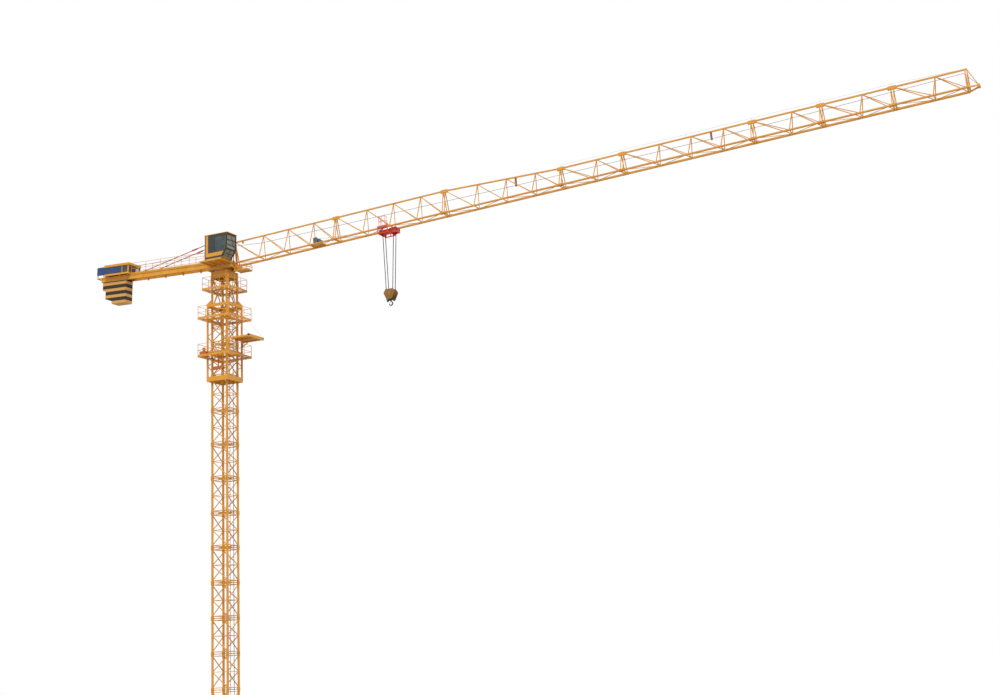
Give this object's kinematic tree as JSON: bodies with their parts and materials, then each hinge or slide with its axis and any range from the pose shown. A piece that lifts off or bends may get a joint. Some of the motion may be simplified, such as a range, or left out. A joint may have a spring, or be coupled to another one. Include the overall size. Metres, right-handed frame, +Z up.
{
  "type": "flat-top tower crane, 1:2 scale model",
  "caption": "Flat-top tower crane with lattice mast, climbing cage, slewing jib and counter-jib, cab, travelling trolley, rope-hung block and swivel hook, at half size.",
  "frame": {"origin": "centre of the base frame's underside, on the slewing axis, at ground level", "axes": "+Z up along the slewing axis, +X along the jib, +Y away from the cab's side"},
  "size_m": [37.5411, 2.6162, 21.2519],
  "materials": {
    "crane_paint": "satin",
    "red_paint": "satin",
    "machinery_grey": "satin",
    "galvanised_steel": "matt",
    "cab_glass": "tinted",
    "wire_rope": "greased",
    "block_paint": "worn",
    "forged_black": "rough",
    "weight_paint": "striped"
  },
  "bodies": {
    "tower": {"base_cross_frame": "crane_paint", "mast_section_01": "crane_paint", "mast_section_02": "crane_paint", "mast_section_03": "crane_paint", "mast_section_04": "crane_paint", "mast_section_05": "crane_paint", "mast_section_06": "crane_paint", "mast_section_07": "crane_paint", "mast_section_08": "crane_paint", "mast_section_09": "crane_paint", "mast_section_10": "crane_paint", "mast_section_11": "crane_paint", "mast_section_12": "crane_paint", "mast_ladder": "galvanised_steel", "climbing_cage": "crane_paint", "lower_walkway": "crane_paint", "lower_walkway_rails": "crane_paint", "upper_walkway": "crane_paint", "upper_walkway_rails": "crane_paint", "entry_platform": "crane_paint", "climbing_jack": "red_paint", "slewing_support": "crane_paint", "support_platform": "crane_paint", "support_platform_rails": "crane_paint", "slewing_ring": "machinery_grey"},
    "upperworks": {"turning_ring": "machinery_grey", "slewing_table": "crane_paint", "tower_head": "crane_paint", "cab_shell": "crane_paint", "cab_glass": "cab_glass", "cab_support": "crane_paint", "slewing_platform": "crane_paint", "slewing_drives": "machinery_grey", "jib_section_1": "crane_paint", "jib_section_2": "crane_paint", "jib_section_3": "crane_paint", "jib_section_4": "crane_paint", "jib_section_5": "crane_paint", "jib_section_6": "crane_paint", "jib_section_7": "crane_paint", "jib_section_8": "crane_paint", "jib_tip": "crane_paint", "trolley_winch": "machinery_grey", "counter_jib": "crane_paint", "counter_jib_walkway": "galvanised_steel", "counter_jib_rails": "crane_paint", "counter_jib_ties": "red_paint", "counterweights": "weight_paint", "hoist_winch": "machinery_grey", "winch_housing": "crane_paint", "tail_board": "crane_paint"},
    "trolley": {"trolley_frame": "red_paint", "trolley_wheels": "machinery_grey", "trolley_sheaves": "machinery_grey", "trolley_basket": "red_paint", "hoist_ropes": "wire_rope"},
    "block": {"hook_block": "block_paint", "block_sheaves": "machinery_grey"},
    "hook_swivel": {"hook": "forged_black"}
  },
  "joints": [
    {"name": "slewing", "type": "hinge", "parent": "tower", "child": "upperworks", "pos_m": [0, 0, 18.865], "axis": [0, 0, 1], "continuous": true},
    {"name": "trolley_travel", "type": "slide", "parent": "upperworks", "child": "trolley", "axis": [0.9988, 0, 0.0488], "range_m": [-6.05, 21.9]},
    {"name": "hoist", "type": "slide", "parent": "trolley", "child": "block", "axis": [0, 0, 1], "range_m": [0, 2], "deforming": ["hoist_ropes"]},
    {"name": "hook_turn", "type": "hinge", "parent": "block", "child": "hook_swivel", "pos_m": [7.98046, 0, 16.50731], "axis": [0, 0, 1], "continuous": true}
  ]
}
